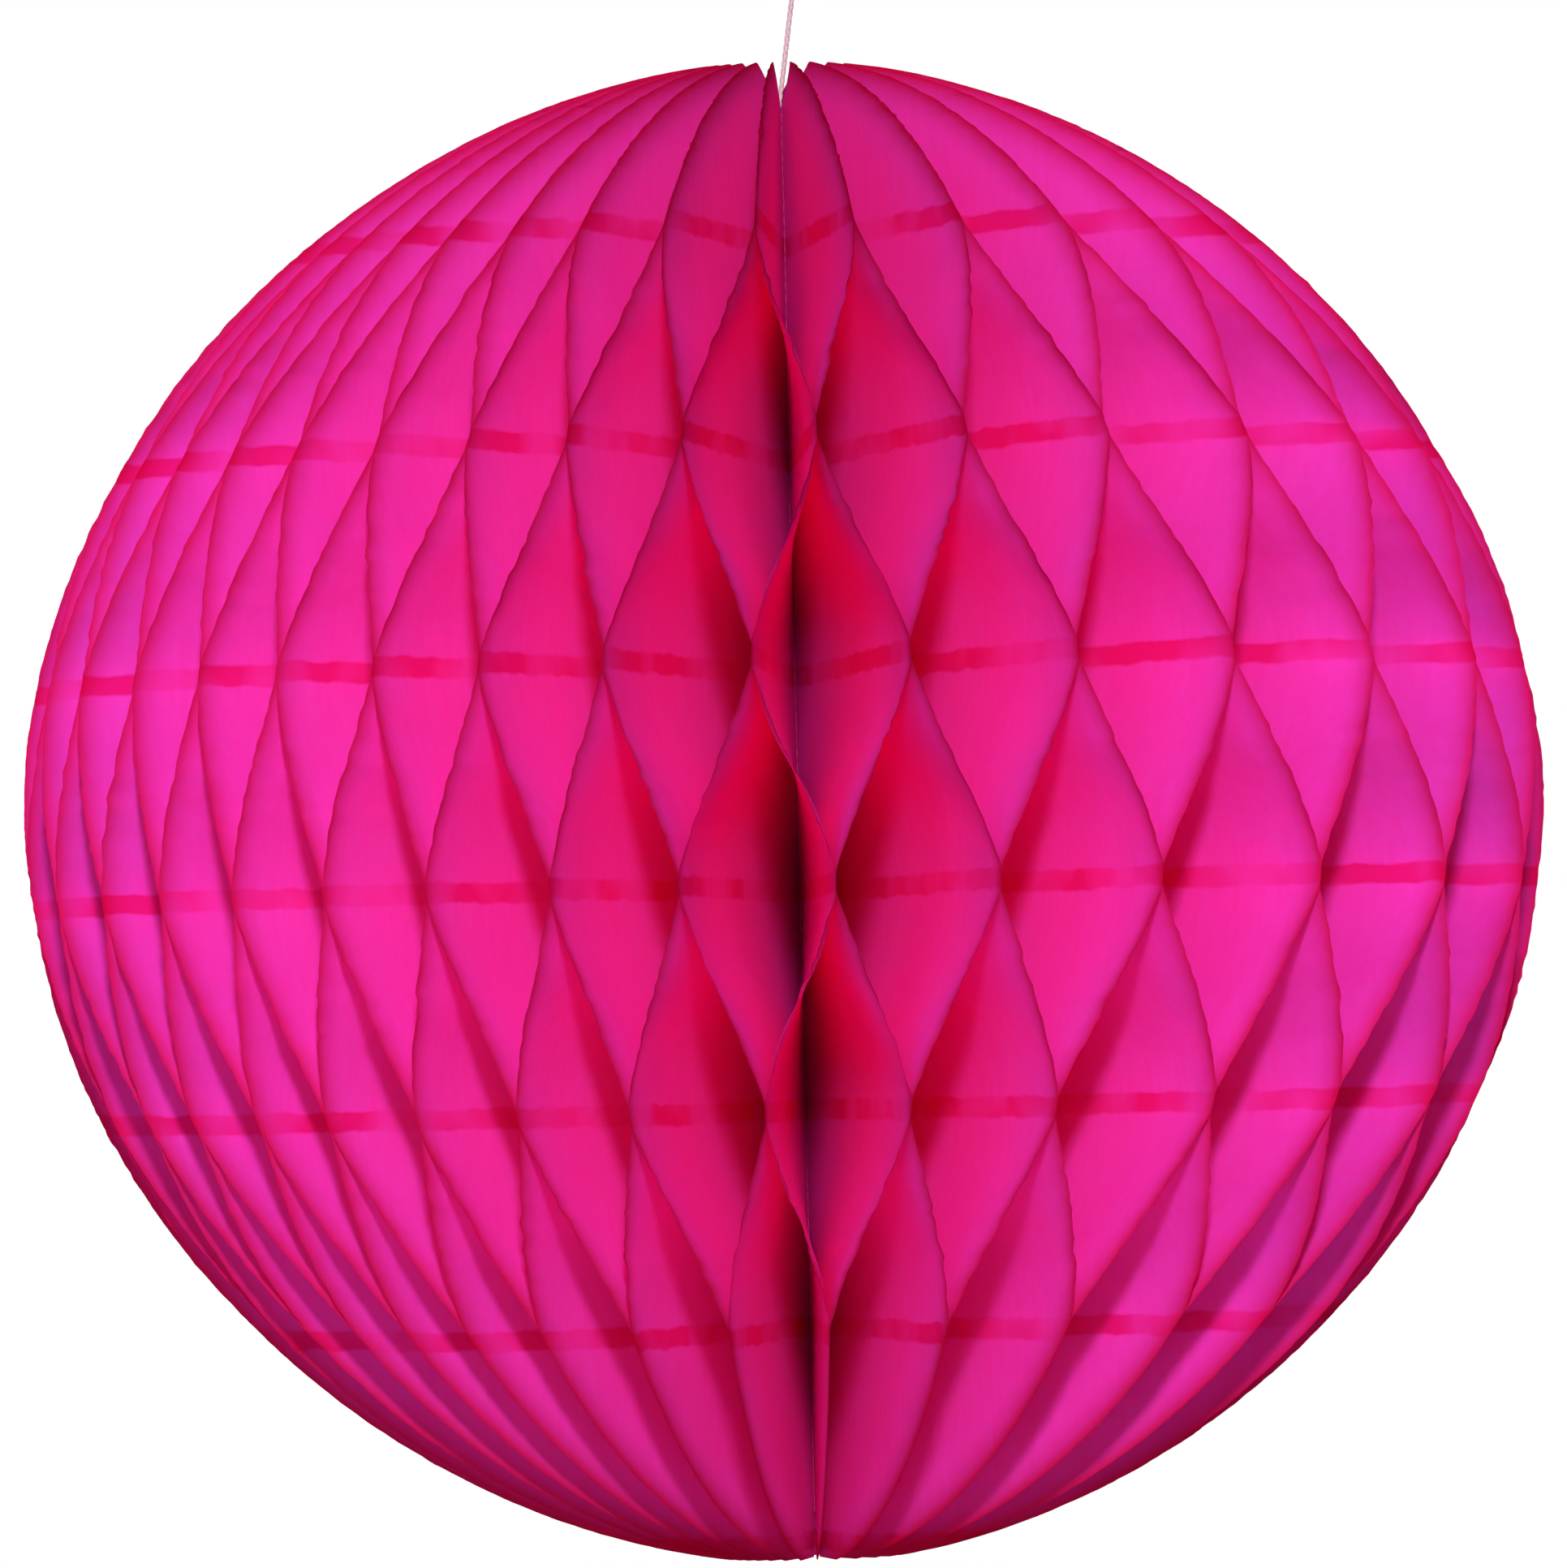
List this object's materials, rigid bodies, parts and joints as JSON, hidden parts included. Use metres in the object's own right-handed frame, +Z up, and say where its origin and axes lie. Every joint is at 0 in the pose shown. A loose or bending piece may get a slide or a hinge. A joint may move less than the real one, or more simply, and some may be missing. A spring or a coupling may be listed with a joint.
{
  "type": "honeycomb paper ball",
  "caption": "Round hanging party decoration of cerise tissue leaves, glued in a staggered pattern and fanned full circle round a stitched spine into diamond cells.",
  "frame": {"origin": "under the top of the hanging loop, where a hook carries the ball", "axes": "+Z up along the spine, the front of the ball faces -Y and its right side is +X"},
  "size_m": [0.2029, 0.203, 0.2256],
  "materials": {
    "tissue": "thin translucent cerise tissue paper, matt, with darker glue lines",
    "end_card": "stiff cerise card, matt",
    "tape": "cream double-sided tape",
    "thread": "pale pink twisted cotton thread"
  },
  "bodies": {
    "root": {"tissue_leaf_01": "tissue", "tissue_leaf_02": "tissue", "tissue_leaf_03": "tissue", "tissue_leaf_04": "tissue", "tissue_leaf_05": "tissue", "tissue_leaf_06": "tissue", "tissue_leaf_07": "tissue", "tissue_leaf_08": "tissue", "tissue_leaf_09": "tissue", "tissue_leaf_10": "tissue", "tissue_leaf_11": "tissue", "tissue_leaf_12": "tissue", "tissue_leaf_13": "tissue", "tissue_leaf_14": "tissue", "tissue_leaf_15": "tissue", "tissue_leaf_16": "tissue", "tissue_leaf_17": "tissue", "tissue_leaf_18": "tissue", "tissue_leaf_19": "tissue", "tissue_leaf_20": "tissue", "tissue_leaf_21": "tissue", "tissue_leaf_22": "tissue", "tissue_leaf_23": "tissue", "tissue_leaf_24": "tissue", "tissue_leaf_25": "tissue", "tissue_leaf_26": "tissue", "tissue_leaf_27": "tissue", "tissue_leaf_28": "tissue", "tissue_leaf_29": "tissue", "tissue_leaf_30": "tissue", "tissue_leaf_31": "tissue", "tissue_leaf_32": "tissue", "tissue_leaf_33": "tissue", "tissue_leaf_34": "tissue", "tissue_leaf_35": "tissue", "tissue_leaf_36": "tissue", "tissue_leaf_37": "tissue", "tissue_leaf_38": "tissue", "tissue_leaf_39": "tissue", "tissue_leaf_40": "tissue", "tissue_leaf_41": "tissue", "tissue_leaf_42": "tissue", "tissue_leaf_43": "tissue", "tissue_leaf_44": "tissue", "tissue_leaf_45": "tissue", "tissue_leaf_46": "tissue", "tissue_leaf_47": "tissue", "tissue_leaf_48": "tissue", "tissue_leaf_49": "tissue", "tissue_leaf_50": "tissue", "tissue_leaf_51": "tissue", "tissue_leaf_52": "tissue", "tissue_leaf_53": "tissue", "end_card_first": "end_card", "end_card_last": "end_card", "closing_tape": "tape", "spine_stitching": "thread", "hanging_thread": "thread", "thread_knot": "thread", "hanging_loop": "thread"}
  },
  "joints": []
}
